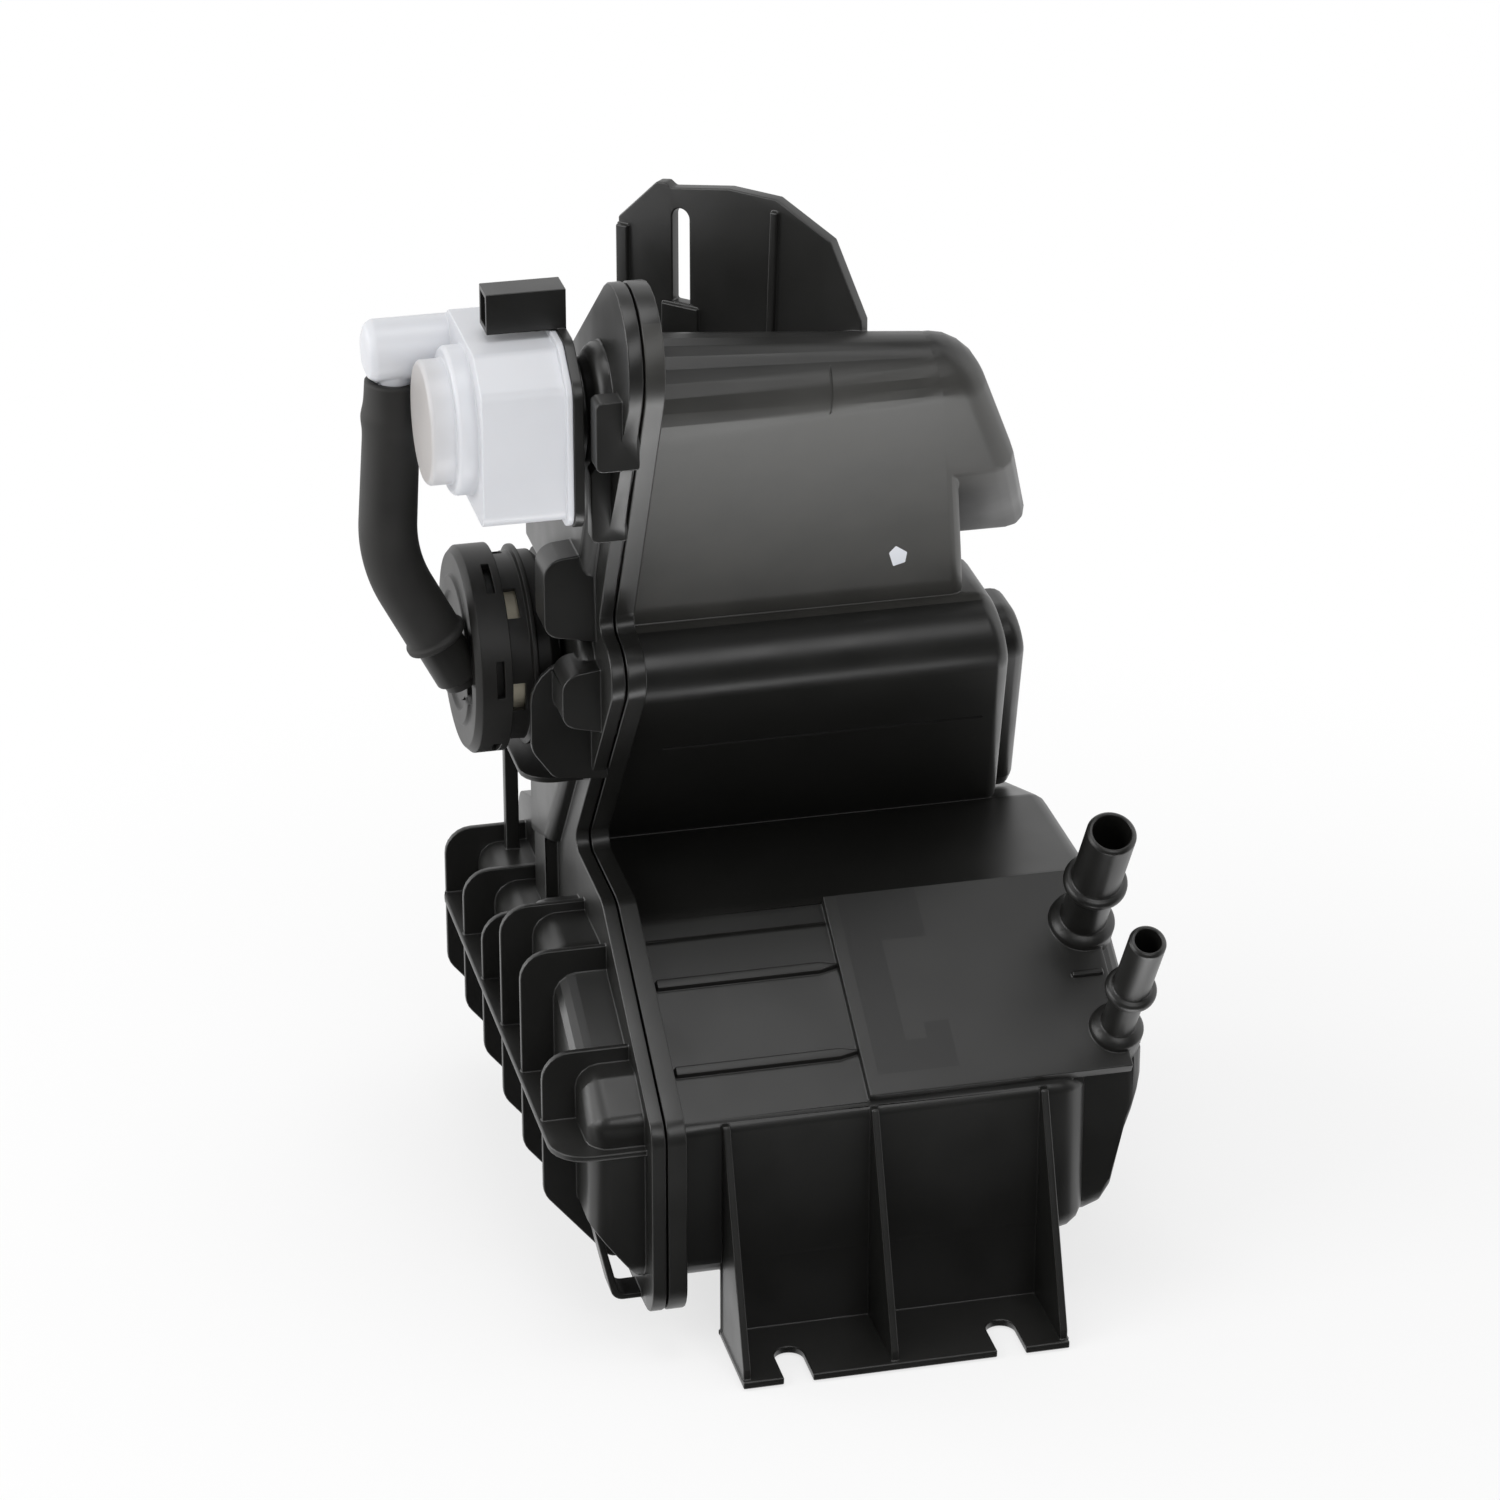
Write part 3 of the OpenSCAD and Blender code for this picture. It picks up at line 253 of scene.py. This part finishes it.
# Canister body
# One injection moulding of black filled nylon: three stepped chambers behind the weld flange, with the
# foot, the slotted plate and both hose ports. Its surface is finely eroded, and its edges are eased.
edge_round = 0.0005
small_edge_round = 0.0003
weld_reach = 2e-6


def eased_copy(node, name, width, angle=28, flat_within=0):
    """Copy of a CAD node with every edge that is sharper than the angle, in degrees, rounded over by
    the width. Triangles that lie flat within a second angle, if one is given, are merged first."""
    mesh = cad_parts[node].data.copy()
    mesh.name = name
    work = bmesh.new()
    work.from_mesh(mesh)
    bmesh.ops.remove_doubles(work, verts=work.verts, dist=weld_reach)
    if flat_within:
        bmesh.ops.dissolve_limit(work, angle_limit=radians(flat_within), verts=work.verts,
                                 edges=work.edges)
    work.to_mesh(mesh)
    work.free()
    mesh.shade_smooth()
    piece = new_object(name, mesh)
    ease = piece.modifiers.new("eased_edges", "BEVEL")
    ease.width = width
    ease.segments = 2
    ease.limit_method = "ANGLE"
    ease.angle_limit = radians(angle)
    ease.use_clamp_overlap = False
    ease.loop_slide = False
    ease.miter_outer = "MITER_ARC"
    even = piece.modifiers.new("even_normals", "WEIGHTED_NORMAL")
    even.weight = 100
    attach(piece, "canister")
    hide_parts(node)
    return piece


def moulded_grain_group():
    """Fine eroded texture of a steel mould: two sizes of noise give a height, a tone and a roughness."""
    group = bpy.data.node_groups.new("moulded_grain", "ShaderNodeTree")
    sockets = group.interface
    for name, value in (("Grain", 2600.0), ("Cloud", 38.0), ("Rough Low", 0.4), ("Rough High", 0.5)):
        sockets.new_socket(name, in_out="INPUT", socket_type="NodeSocketFloat").default_value = value
    for name, value in (("Dark", (0.01, 0.01, 0.01, 1)), ("Light", (0.02, 0.02, 0.02, 1))):
        sockets.new_socket(name, in_out="INPUT", socket_type="NodeSocketColor").default_value = value
    sockets.new_socket("Color", in_out="OUTPUT", socket_type="NodeSocketColor")
    sockets.new_socket("Roughness", in_out="OUTPUT", socket_type="NodeSocketFloat")
    sockets.new_socket("Height", in_out="OUTPUT", socket_type="NodeSocketFloat")
    inlet = group.nodes.new("NodeGroupInput")
    outlet = group.nodes.new("NodeGroupOutput")
    place = group.nodes.new("ShaderNodeTexCoord")
    grain = group.nodes.new("ShaderNodeTexNoise")
    grain.inputs["Detail"].default_value = 2
    cloud = group.nodes.new("ShaderNodeTexNoise")
    cloud.inputs["Detail"].default_value = 5
    tone = group.nodes.new("ShaderNodeMix")
    tone.data_type = "RGBA"
    rough = group.nodes.new("ShaderNodeMapRange")
    rough.inputs["From Min"].default_value = 0.3
    rough.inputs["From Max"].default_value = 0.7
    links = group.links
    links.new(place.outputs["Object"], grain.inputs["Vector"])
    links.new(place.outputs["Object"], cloud.inputs["Vector"])
    links.new(inlet.outputs["Grain"], grain.inputs["Scale"])
    links.new(inlet.outputs["Cloud"], cloud.inputs["Scale"])
    links.new(cloud.outputs["Fac"], tone.inputs["Factor"])
    links.new(inlet.outputs["Dark"], tone.inputs["A"])
    links.new(inlet.outputs["Light"], tone.inputs["B"])
    links.new(cloud.outputs["Fac"], rough.inputs["Value"])
    links.new(inlet.outputs["Rough Low"], rough.inputs["To Min"])
    links.new(inlet.outputs["Rough High"], rough.inputs["To Max"])
    links.new(tone.outputs["Result"], outlet.inputs["Color"])
    links.new(rough.outputs["Result"], outlet.inputs["Roughness"])
    links.new(grain.outputs["Fac"], outlet.inputs["Height"])
    return group


moulded_grain = moulded_grain_group()


def grained(name, dark, light, rough, grain=2600.0, cloud=38.0, bump=0.05, specular=0.5, metallic=0.0):
    """Material of one finish: the grain group feeds colour, roughness and a shallow bump."""
    material, tree, output = new_material(name)
    group = tree.nodes.new("ShaderNodeGroup")
    group.node_tree = moulded_grain
    group.inputs["Grain"].default_value = grain
    group.inputs["Cloud"].default_value = cloud
    group.inputs["Rough Low"].default_value = rough[0]
    group.inputs["Rough High"].default_value = rough[1]
    group.inputs["Dark"].default_value = (*dark, 1)
    group.inputs["Light"].default_value = (*light, 1)
    relief = tree.nodes.new("ShaderNodeBump")
    relief.inputs["Strength"].default_value = bump
    relief.inputs["Distance"].default_value = 0.0002
    surface = tree.nodes.new("ShaderNodeBsdfPrincipled")
    surface.inputs["Specular IOR Level"].default_value = specular
    surface.inputs["Metallic"].default_value = metallic
    tree.links.new(group.outputs["Color"], surface.inputs["Base Color"])
    tree.links.new(group.outputs["Roughness"], surface.inputs["Roughness"])
    tree.links.new(group.outputs["Height"], relief.inputs["Height"])
    tree.links.new(relief.outputs["Normal"], surface.inputs["Normal"])
    tree.links.new(surface.outputs[0], output.inputs["Surface"])
    return material


def clothe(piece, material):
    """Gives a piece one material."""
    piece.data.materials.clear()
    piece.data.materials.append(material)


black_nylon = grained("black_nylon", (0.0085, 0.0085, 0.0078), (0.014, 0.0138, 0.0127), (0.33, 0.42),
                      specular=0.7)
body_nylon = black_nylon.copy()
body_nylon.name = "body_nylon"
mark_slope = radians(32.5)
mark_foot = (0, 0.017, 0.076)
mark_depth = (0.002, 0.004)
mark_bars = ((0.0, 0.0112, 0.010, 0.0746), (0.0112, 0.0255, 0.057, 0.0746),
             (0.0112, 0.018, 0.010, 0.021), (0.018, 0.026, 0.010, 0.0266))
crease_place = (0, 0.0915, 0.2125)
wall_lean = radians(27.4)
# Painted light on the upper chamber's leaning wall: its reach off the wall's plane and its heights.
painted_light_none = 0.012
painted_light_full = 0.001
painted_light_levels = (-0.001, 0.12)


def along(tree, origin, direction):
    """How far a point lies from an origin along a direction."""
    place = tree.nodes.new("ShaderNodeTexCoord")
    away = tree.nodes.new("ShaderNodeVectorMath")
    away.operation = "SUBTRACT"
    away.inputs[1].default_value = origin
    far = tree.nodes.new("ShaderNodeVectorMath")
    far.operation = "DOT_PRODUCT"
    far.inputs[1].default_value = direction
    tree.links.new(place.outputs["Object"], away.inputs[0])
    tree.links.new(away.outputs[0], far.inputs[0])
    return far.outputs["Value"]


def within(tree, value, low, high):
    """Mask that is 1 where a value lies between two limits."""
    node = tree.nodes.new("ShaderNodeMath")
    node.operation = "COMPARE"
    node.inputs[1].default_value = (low + high) / 2
    node.inputs[2].default_value = (high - low) / 2
    tree.links.new(value, node.inputs[0])
    return node.outputs[0]


def faded(tree, value, none, full):
    """Mask that rises smoothly from 0 to 1 while a value goes from one limit to the other."""
    node = tree.nodes.new("ShaderNodeMapRange")
    node.interpolation_type = "SMOOTHSTEP"
    node.inputs["From Min"].default_value = none
    node.inputs["From Max"].default_value = full
    tree.links.new(value, node.inputs["Value"])
    return node.outputs["Result"]


def joined(tree, operation, first, second):
    """One value from two by the named operation."""
    node = tree.nodes.new("ShaderNodeMath")
    node.operation = operation
    tree.links.new(first, node.inputs[0])
    tree.links.new(second, node.inputs[1])
    return node.outputs[0]


def lay_over(tree, mask, input_name, value, data_type):
    """Lays a value over what feeds an input of the surface, as far as the mask says."""
    entry = tree.nodes["Principled BSDF"].inputs[input_name]
    blend = tree.nodes.new("ShaderNodeMix")
    blend.data_type = data_type
    blend.inputs["B"].default_value = value
    tree.links.new(mask, blend.inputs["Factor"])
    tree.links.new(entry.links[0].from_socket, blend.inputs["A"])
    tree.links.new(blend.outputs["Result"], entry)


def add_insert_mark(tree):
    """Mark of a mould insert on the port platform: bars between two places across and two distances up
    the slope, a little darker and duller than the grain round them."""
    across = along(tree, (0, 0, 0), (1, 0, 0))
    up = along(tree, mark_foot, (0, np.cos(mark_slope), np.sin(mark_slope)))
    off = along(tree, mark_foot, (0, -np.sin(mark_slope), np.cos(mark_slope)))
    mask = None
    for left, right, low, high in mark_bars:
        bar = joined(tree, "MULTIPLY", within(tree, across, left, right), within(tree, up, low, high))
        mask = joined(tree, "MAXIMUM", mask, bar) if mask else bar
    mask = joined(tree, "MULTIPLY", mask, within(tree, off, *mark_depth))
    lay_over(tree, mask, "Base Color", (0.007, 0.007, 0.0065, 1), "RGBA")
    lay_over(tree, mask, "Roughness", 0.44, "FLOAT")


def add_wall_painted_light(tree):
    """Painted light on the upper chamber's leaning wall: a lighter, duller cloudy patch, full where a
    point lies in the wall's plane, gone a few millimetres off it, and broken up by noise."""
    off = along(tree, crease_place, (0, np.cos(wall_lean), np.sin(wall_lean)))
    depth = tree.nodes.new("ShaderNodeMath")
    depth.operation = "ABSOLUTE"
    place = tree.nodes.new("ShaderNodeTexCoord")
    cloud = tree.nodes.new("ShaderNodeTexNoise")
    cloud.inputs["Scale"].default_value = 42
    cloud.inputs["Detail"].default_value = 7
    broken = tree.nodes.new("ShaderNodeMapRange")
    broken.inputs["From Min"].default_value = 0.3
    broken.inputs["From Max"].default_value = 0.65
    broken.inputs["To Min"].default_value = 0.62
    tree.links.new(off, depth.inputs[0])
    tree.links.new(place.outputs["Object"], cloud.inputs["Vector"])
    tree.links.new(cloud.outputs["Fac"], broken.inputs["Value"])
    in_plane = faded(tree, depth.outputs[0], painted_light_none, painted_light_full)
    level = along(tree, crease_place, (0, 0, 1))
    mask = joined(tree, "MULTIPLY", in_plane, broken.outputs["Result"])
    mask = joined(tree, "MULTIPLY", mask, within(tree, level, *painted_light_levels))
    # Painted light: the wall's base colour is lifted to a lighter grey where the mask says.
    lay_over(tree, mask, "Base Color", (0.046, 0.045, 0.041, 1), "RGBA")
    lay_over(tree, mask, "Roughness", 0.47, "FLOAT")


add_insert_mark(body_nylon.node_tree)
# Paints light onto the upper chamber's leaning wall.
add_wall_painted_light(body_nylon.node_tree)
body = eased_copy("canister_body", "body_moulding", edge_round)
clothe(body, body_nylon)

# Paint dab
# A small touch of white paint from inspection, on the upper chamber's leaning wall.
# It is a thin, slightly domed blot with five blunt corners.
dab_corners = np.array([[0.0167, 0.2334], [0.0185, 0.2362], [0.0225, 0.2331], [0.0225, 0.2288],
                        [0.0189, 0.2275]])
dab_height = 0.00025


def dab_points():
    """Blot on the leaning wall: rings shrink from the outline to its middle while the height rises as a
    low dome, and the outermost ring lies on the wall."""
    corners = np.concatenate([dab_corners, dab_corners[:1]])
    steps = np.linspace(0, len(dab_corners), 61)[:-1]
    outline = np.stack([np.interp(steps, np.arange(6), corners[:, k]) for k in (0, 1)], axis=1)
    outline = (2 * outline + np.roll(outline, 1, axis=0) + np.roll(outline, -1, axis=0)) / 4
    middle = outline.mean(axis=0)
    share = np.linspace(1, 0, 9)[:, None, None]
    flat = middle + (outline - middle)[None] * share
    lift = dab_height * np.sqrt(np.clip(1.06 - share[..., 0] ** 2, 0, 1)) - 0.2 * dab_height
    lift = np.broadcast_to(lift, flat.shape[:2])
    rise = (flat[..., 1] - crease_place[2]) / np.cos(wall_lean)
    y = crease_place[1] - rise * np.sin(wall_lean) - lift * np.cos(wall_lean)
    z = flat[..., 1] - lift * np.sin(wall_lean)
    return np.stack([flat[..., 0], y, z], axis=2)


dab = new_object("paint_dab", grid_mesh("paint_dab", dab_points(), close_v=True))
dab.data.shade_smooth()
dab_paint = grained("dab_paint", (0.72, 0.74, 0.8), (0.82, 0.84, 0.88), (0.45, 0.6), grain=900.0,
                    bump=0.1)
clothe(dab, dab_paint)
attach(dab, "canister")

# Canister cover
# The black cover is hot-plate welded to the body's flange: domed pockets stiffened by fins and ribs,
# moulded of the same filled nylon.
cover = eased_copy("canister_cover", "cover_moulding", edge_round)
clothe(cover, black_nylon)

# Fresh-air filter
# A black drum snapped into the cover holds a pleated paper ring and a flat seal,
# and its cap carries the angled nipple for the hose.
filter_nylon = grained("filter_nylon", (0.009, 0.009, 0.008), (0.016, 0.015, 0.014), (0.4, 0.5),
                       specular=0.4)
drum = eased_copy("filter_case", "filter_drum", small_edge_round)
clothe(drum, filter_nylon)
cap = eased_copy("filter_cap", "filter_lid", small_edge_round)
clothe(cap, filter_nylon)

# Vent module
# The black base carries the connector and plugs into the cover. The cap over it, with its stepped boss
# and the nose for the hose, is natural white plastic that lets a little light through.
base = eased_copy("module_base", "module_plate", small_edge_round)
clothe(base, black_nylon)
housing = eased_copy("module_housing", "module_cap", edge_round, flat_within=0.4)
natural_white = grained("natural_white", (0.62, 0.63, 0.66), (0.67, 0.68, 0.71), (0.34, 0.42),
                        grain=1500.0, bump=0.03)
white_surface = natural_white.node_tree.nodes["Principled BSDF"]
white_surface.inputs["Subsurface Weight"].default_value = 0.25
white_surface.inputs["Subsurface Radius"].default_value = (0.003, 0.0026, 0.0024)
# Middle and radii of the painted shade on the boss's face.
boss_middle = (-0.127, 0.0805, 0.290)
boss_rim = 0.0205
boss_face = 0.0165


def add_boss_shade(tree):
    """Warm grey on the boss's face, part painted shade and part the coil that shows through,
    fading from its rim to plain white.
    """
    place = tree.nodes.new("ShaderNodeTexCoord")
    reach = tree.nodes.new("ShaderNodeVectorMath")
    reach.operation = "DISTANCE"
    reach.inputs[1].default_value = boss_middle
    tree.links.new(place.outputs["Object"], reach.inputs[0])
    mask = faded(tree, reach.outputs["Value"], boss_rim, boss_face)
    # Painted shade: the middle of the boss's face is darkened to a warm grey, which also stands for the
    # coil.
    lay_over(tree, mask, "Base Color", (0.46, 0.44, 0.43, 1), "RGBA")


add_boss_shade(natural_white.node_tree)
clothe(housing, natural_white)

# Air hose
# A moulded rubber hose, matt from the mould, pushed over the module's nose and the filter's nipple.
# It keeps its bent form by itself.
hose_top = np.array([-0.130, 0.109, 0.303])
hose_lean = radians(3.5)
hose_drop = 0.0555
bend_radius = 0.045
bend_turn = radians(31)
hose_end = 0.020
hose_radius = 0.009
hose_bore = 0.0063
upper_thin = 0.0004
spigot_swell = 0.0007
spigot_reach = 0.012
swell_width = 0.0035
bead_height = 0.0009
bead_length = 0.0028
bead_edge = 0.0008
thin_reach = 0.05
end_lip = 0.0008
nose_gap = 0.0098


def hose_path(steps):
    """Middle line of the hose in the X-Z plane: a straight fall from the nose, an arc and a straight
    end. Returns the places, the directions aside and the distances along the line."""
    share = np.linspace(0, 1, steps)
    fall, arc = hose_drop - nose_gap, bend_radius * bend_turn
    far = share * (fall + arc + hose_end)
    angle = np.clip((far - fall) / bend_radius, 0, bend_turn) - hose_lean
    start = hose_top + nose_gap * np.array([-np.sin(hose_lean), 0, -np.cos(hose_lean)])
    turn_place = hose_top + hose_drop * np.array([-np.sin(hose_lean), 0, -np.cos(hose_lean)]) \
        + bend_radius * np.array([np.cos(hose_lean), 0, -np.sin(hose_lean)])
    heading = np.stack([np.sin(angle), 0 * angle, -np.cos(angle)], axis=1)
    aside = np.stack([np.cos(angle), 0 * angle, np.sin(angle)], axis=1)
    before = start + np.minimum(far, fall)[:, None] * heading
    after = turn_place - bend_radius * aside + np.clip(far - fall - arc, 0, None)[:, None] * heading
    return np.where((far < fall)[:, None], before, after), aside, far


def hose_points():
    """Tube round the middle line: rings of the outer radius down the hose, then rings of the bore back
    up. The outer radius swells a little over the nose's spigot, thickens to a bead at the lower end,
    and is rounded off at both ends."""
    place, aside, far = hose_path(160)
    turn = np.linspace(0, 2 * np.pi, 65)[:-1]
    across = np.array([0, 1, 0])
    inset = np.clip(end_lip - np.minimum(far, far[-1] - far), 0, end_lip)
    round_off = end_lip - np.sqrt(np.clip(end_lip ** 2 - inset ** 2, 0, None))
    swell = spigot_swell * np.exp(-((far - spigot_reach) / swell_width) ** 2)
    bead = bead_height * np.clip((bead_length - (far[-1] - far)) / bead_edge, 0, 1)
    thin = upper_thin * np.clip(1 - far / thin_reach, 0, 1)
    outer = hose_radius - thin + swell + bead - round_off
    bore = np.full_like(far, hose_bore)
    places = np.concatenate([place, place[::-1]])
    asides = np.concatenate([aside, aside[::-1]])
    radii = np.concatenate([outer, bore[::-1]])
    ring = np.cos(turn)[None, :, None] * asides[:, None, :] + np.sin(turn)[None, :, None] * across
    return places[:, None, :] + radii[:, None, None] * ring


hose = new_object("vent_hose", grid_mesh("vent_hose", hose_points(), close_u=True, close_v=True))
hose.data.shade_smooth()
hose_rubber = grained("hose_rubber", (0.012, 0.0115, 0.011), (0.026, 0.025, 0.023), (0.55, 0.68),
                      grain=1800.0, cloud=60.0, bump=0.12)
clothe(hose, hose_rubber)
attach(hose, "canister")
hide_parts("air_hose")

# Inner pieces
# Charcoal, felt, pressure plates and springs fill the chambers; the filter holds paper, and the module
# holds its coil, valve and diaphragm. They keep their CAD form, each with its own finish.
inner_finishes = (
    ("carbon", ("lower_carbon_bed", "middle_carbon_bed", "upper_carbon_bed"),
     grained("charcoal", (0.004, 0.004, 0.004), (0.03, 0.03, 0.03), (0.7, 0.9), grain=700.0,
             cloud=420.0, bump=0.9)),
    ("felt", ("lower_port_pad", "middle_end_pad", "upper_end_pad", "lower_bed_pad", "middle_bed_pad",
              "upper_bed_pad"),
     grained("grey_felt", (0.5, 0.48, 0.43), (0.68, 0.66, 0.6), (0.85, 0.95), grain=1600.0,
             cloud=220.0, bump=0.7)),
    ("black_plastic", ("lower_grid_plate", "middle_grid_plate", "upper_grid_plate"), black_nylon),
    ("spring_steel", ("bed_springs", "valve_spring"),
     grained("bright_wire", (0.5, 0.5, 0.51), (0.62, 0.62, 0.63), (0.22, 0.34), cloud=300.0,
             metallic=1.0)),
    ("filter_paper", ("filter_element",),
     grained("pleated_paper", (0.55, 0.5, 0.38), (0.7, 0.65, 0.52), (0.8, 0.92), grain=1200.0,
             cloud=180.0, bump=0.4)),
    ("seal_rubber", ("filter_seal", "module_seal", "diaphragm", "vent_valve"),
     grained("seal_rubber", (0.012, 0.012, 0.012), (0.02, 0.02, 0.02), (0.5, 0.6), grain=1500.0,
             bump=0.1)),
    ("coil_copper", ("solenoid_coil",),
     grained("wound_copper", (0.45, 0.18, 0.07), (0.62, 0.28, 0.12), (0.28, 0.4), cloud=500.0,
             bump=0.3, metallic=1.0)),
    ("terminal_tin", ("connector_pins",),
     grained("tinned_blade", (0.55, 0.54, 0.5), (0.66, 0.65, 0.61), (0.2, 0.3), cloud=400.0,
             metallic=1.0)),
)
for slot, nodes, finish in inner_finishes:
    for node in nodes:
        clothe(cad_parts[node], finish)
